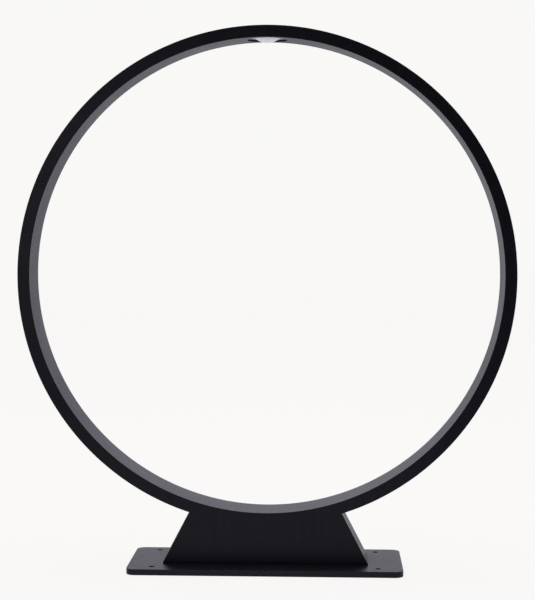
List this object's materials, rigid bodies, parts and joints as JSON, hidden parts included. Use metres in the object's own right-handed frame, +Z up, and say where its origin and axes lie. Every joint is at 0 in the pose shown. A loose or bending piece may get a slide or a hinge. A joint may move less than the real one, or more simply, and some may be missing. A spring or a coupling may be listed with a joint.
{
  "type": "ring path light",
  "caption": "Upright hoop-shaped outdoor path light on a tapered foot and rounded base plate, with a domed downlight set in the top of the hoop.",
  "frame": {"origin": "middle of the base plate's underside", "axes": "+Z up, the hoop lies in the XZ plane, -Y is the front"},
  "size_m": [0.5, 0.108, 0.546],
  "materials": {
    "black_powder_coat": "satin",
    "frosted_lens": "satin",
    "black_rubber": "matte",
    "clear_silicone": "satin",
    "bare_aluminium": "satin",
    "black_steel_screw": "satin",
    "zinc_steel_screw": "satin",
    "white_solder_mask": "satin",
    "phosphor_yellow": "satin",
    "grey_thermal_pad": "matte",
    "black_sheath": "matte",
    "red_core": "satin",
    "natural_nylon": "matte",
    "black_nylon": "satin",
    "white_casing": "matte",
    "green_circuit_board": "satin",
    "taped_core": "matte",
    "capacitor_sleeve": "gloss",
    "brass": "satin",
    "tinned_brass": "satin",
    "brown_core": "satin",
    "blue_core": "satin",
    "earth_core": "satin"
  },
  "bodies": {
    "root": {"ring_channel": "black_powder_coat", "ring_cover_strip": "black_powder_coat", "strip_bridges": "bare_aluminium", "strip_screws": "black_steel_screw", "lens_gasket": "clear_silicone", "lamp_lens": "frosted_lens", "led_board": "white_solder_mask", "led_chips": "phosphor_yellow", "thermal_pad": "grey_thermal_pad", "lamp_clamp_plate": "bare_aluminium", "lamp_posts": "bare_aluminium", "lamp_screws": "zinc_steel_screw", "lamp_lead": "black_sheath", "lamp_cores": "red_core", "lead_clips": "natural_nylon", "pedestal_front_panel": "black_powder_coat", "pedestal_rear_panel": "black_powder_coat", "pedestal_left_wall": "black_powder_coat", "pedestal_right_wall": "black_powder_coat", "corner_blocks": "bare_aluminium", "pedestal_gasket": "black_rubber", "base_screws": "black_steel_screw", "base_plate": "black_powder_coat", "gland_body": "black_nylon", "gland_seal": "black_rubber", "gland_nut": "black_nylon", "driver_case": "white_casing", "driver_lid": "white_casing", "driver_board": "green_circuit_board", "driver_transformer": "taped_core", "driver_capacitors": "capacitor_sleeve", "driver_screws": "zinc_steel_screw", "terminal_block": "natural_nylon", "terminal_inserts": "brass", "terminal_screws": "zinc_steel_screw", "terminal_fixing_screws": "zinc_steel_screw", "earth_lug": "tinned_brass", "earth_screw": "brass", "live_wire": "brown_core", "neutral_wire": "blue_core", "earth_wire": "earth_core"}
  },
  "joints": []
}
